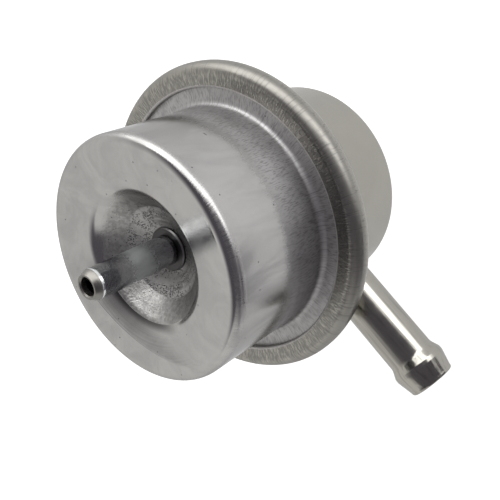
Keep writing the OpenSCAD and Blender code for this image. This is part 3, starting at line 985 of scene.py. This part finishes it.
# The cloth fades in from its outer to its inner angle on each side, and over a share of its height
CLOTH_DISTANCE = 0.6
CLOTH_LEFT = (math.radians(-95), math.radians(-40))
CLOTH_RIGHT = (math.radians(113), math.radians(62))
CLOTH_RISE = math.radians(-19)
CLOTH_HALF_H = math.radians(43)
CLOTH_FADE = (1.12, 0.88)
CLOTH_REACH = 1.4
CLOTH_COLUMNS = 48
CLOTH_ROWS = 32
CLOTH_COLOUR = (0.145, 0.134, 0.156, 1)

CARD_NEAR = 0.083
CARD_FAR = 0.3
CARD_FROM = math.radians(2)
CARD_TO = math.radians(48)
CARD_STEPS = 24
CARD_RISE = 0.001


def seen_rays(n):
    """1 for the rays that show the background itself, in a picture or in metal and glass."""
    path = n.add("ShaderNodeLightPath")
    seen = n.larger(path.outputs["Is Camera Ray"], path.outputs["Is Glossy Ray"])
    return n.larger(seen, path.outputs["Is Transmission Ray"])


def make_floor():
    mesh = bmesh.new()
    bmesh.ops.create_grid(mesh, x_segments=1, y_segments=1, size=FLOOR_SIZE / 2)
    floor = to_object("floor", mesh)
    floor.location.z = CAD_BOX[0][2]
    material, n = new_material("floor_paper")
    paper = n.add("ShaderNodeBsdfDiffuse")
    paper.inputs["Color"].default_value = FLOOR_COLOUR
    glow = n.add("ShaderNodeEmission")
    view = n.add("ShaderNodeLightPath").outputs["Is Camera Ray"]
    strength = n.plus(n.times(seen_rays(n), FLOOR_GLOW), n.times(view, VIEW_GLOW))
    n.link(strength, glow.inputs["Strength"])
    both = n.add("ShaderNodeAddShader")
    n.link(paper.outputs[0], both.inputs[0])
    n.link(glow.outputs[0], both.inputs[1])
    n.show(both.outputs[0])
    floor.data.materials.append(material)


def make_world():
    """A pale room that shows white in a picture and in metal, and lights the floor a little less."""
    world = bpy.data.worlds.new("room")
    bpy.context.scene.world = world
    world.use_nodes = True
    n = Nodes(world.node_tree)
    background = n.add("ShaderNodeBackground")
    background.inputs["Color"].default_value = ROOM_COLOUR
    n.link(n.span(seen_rays(n), 0.0, 1.0, ROOM_LIGHT, 1.0), background.inputs["Strength"])
    n.show(background.outputs[0], "ShaderNodeOutputWorld")


def cloth_spots(right, up, back):
    """Rows of points on a part of a sphere behind the viewer."""
    first, last = CLOTH_LEFT[0], CLOTH_RIGHT[0]
    lines = []
    for j in range(CLOTH_ROWS + 1):
        rise = CLOTH_RISE + CLOTH_HALF_H * CLOTH_REACH * (2 * j / CLOTH_ROWS - 1)
        line = []
        for i in range(CLOTH_COLUMNS + 1):
            turn = first + (last - first) * i / CLOTH_COLUMNS
            level = right * math.sin(turn) + back * math.cos(turn)
            line.append((level * math.cos(rise) + up * math.sin(rise)) * CLOTH_DISTANCE)
        lines.append(line)
    return lines


def make_dark_cloth():
    """A dark cloth behind the viewer, thin at its edges, which the metal mirrors."""
    right, up, back = view_axes()
    cloth = quad_grid("dark_cloth", cloth_spots(right, up, back))
    cloth.visible_camera = False
    material, n = new_material("dark_cloth")
    place = n.vector("NORMALIZE", n.add("ShaderNodeTexCoord").outputs["Object"])
    across, along, above = (n.vector("DOT_PRODUCT", place, tuple(axis)) for axis in (right, back, up))
    turn = n.math("ARCTAN2", across, along)
    rise = n.minus(n.math("ARCSINE", above), CLOTH_RISE)
    wide = n.times(n.span(turn, *CLOTH_LEFT), n.span(turn, *CLOTH_RIGHT))
    tall = n.math("DIVIDE", n.math("ABSOLUTE", rise), CLOTH_HALF_H)
    thick = n.times(wide, n.span(tall, *CLOTH_FADE))
    shade = n.add("ShaderNodeEmission")
    shade.inputs["Color"].default_value = CLOTH_COLOUR
    clear = n.add("ShaderNodeBsdfTransparent")
    blend = n.add("ShaderNodeMixShader")
    n.link(thick, blend.inputs["Fac"])
    n.link(clear.outputs[0], blend.inputs[1])
    n.link(shade.outputs[0], blend.inputs[2])
    n.show(blend.outputs[0])
    cloth.data.materials.append(material)


def make_dark_card():
    """A dark card laid on the floor at the viewer's right, which the edge of the rim mirrors."""
    near, far = [], []
    for i in range(CARD_STEPS + 1):
        angle = CARD_FROM + (CARD_TO - CARD_FROM) * i / CARD_STEPS
        ray = Vector((math.cos(angle), math.sin(angle), 0.0))
        near.append(ray * CARD_NEAR)
        far.append(ray * CARD_FAR)
    card = quad_grid("dark_card", [far, near])
    card.location.z = CAD_BOX[0][2] + CARD_RISE
    card.visible_camera = False
    card.visible_shadow = False
    material, n = new_material("dark_card")
    shade = n.add("ShaderNodeEmission")
    shade.inputs["Color"].default_value = CLOTH_COLOUR
    n.show(shade.outputs[0])
    card.data.materials.append(material)


def make_softbox(name, spot, target, roll, width, height, radiance):
    """A flat lamp of even brightness, in metres and degrees."""
    data = bpy.data.lights.new(name, "AREA")
    data.shape = "RECTANGLE"
    data.size = width
    data.size_y = height
    data.energy = radiance * math.pi * width * height
    lamp = bpy.data.objects.new(name, data)
    lamp.visible_camera = False
    turn = (Vector(target) - Vector(spot)).to_track_quat("-Z", "Y").to_matrix().to_4x4()
    lamp.matrix_world = Matrix.Translation(spot) @ turn @ Matrix.Rotation(math.radians(roll), 4, "Z")
    bpy.context.scene.collection.objects.link(lamp)


def around_part(azimuth, distance, height):
    """A spot round the part: degrees from +X, metres out from the axis, metres up."""
    angle = math.radians(azimuth)
    return Vector((distance * math.cos(angle), distance * math.sin(angle), height))


make_camera()
make_world()
make_floor()
make_dark_cloth()
make_dark_card()
make_softbox(
    "tall_softbox", spot=around_part(azimuth=130, distance=0.6, height=0.26), target=(0, 0, 0.26),
    roll=10, width=1.2, height=0.62, radiance=2.3,
)
make_softbox(
    "low_softbox", spot=(0.022, 0.13, -0.012), target=(0.022, 0, -0.012),
    roll=0, width=0.075, height=0.066, radiance=2.2,
)

make_spring_housing(cup_metal())
make_fuel_housing(rim_metal())
make_nipple(nipple_metal())
make_tail(
    "inlet_hose_tail", "inlet_tail", INLET_END - INLET_START,
    (INLET_START, 0, INLET_Z), math.pi / 2, "Y", tail_metal("inlet_plate", DRAWN_ALONG_X),
)
make_tail(
    "return_hose_tail", "return_tail", RETURN_START - RETURN_END,
    (0, 0, RETURN_START), math.pi, "X", tail_metal("return_plate", DRAWN_ALONG_Z),
)
make_brazes(braze_metal())
FINISHES = inner_finishes()
make_main_spring(FINISHES["spring_steel"])
make_diaphragm(FINISHES["rubber_cloth"])
dress_inner_nodes(FINISHES)

bpy.context.scene.view_settings.view_transform = "Standard"
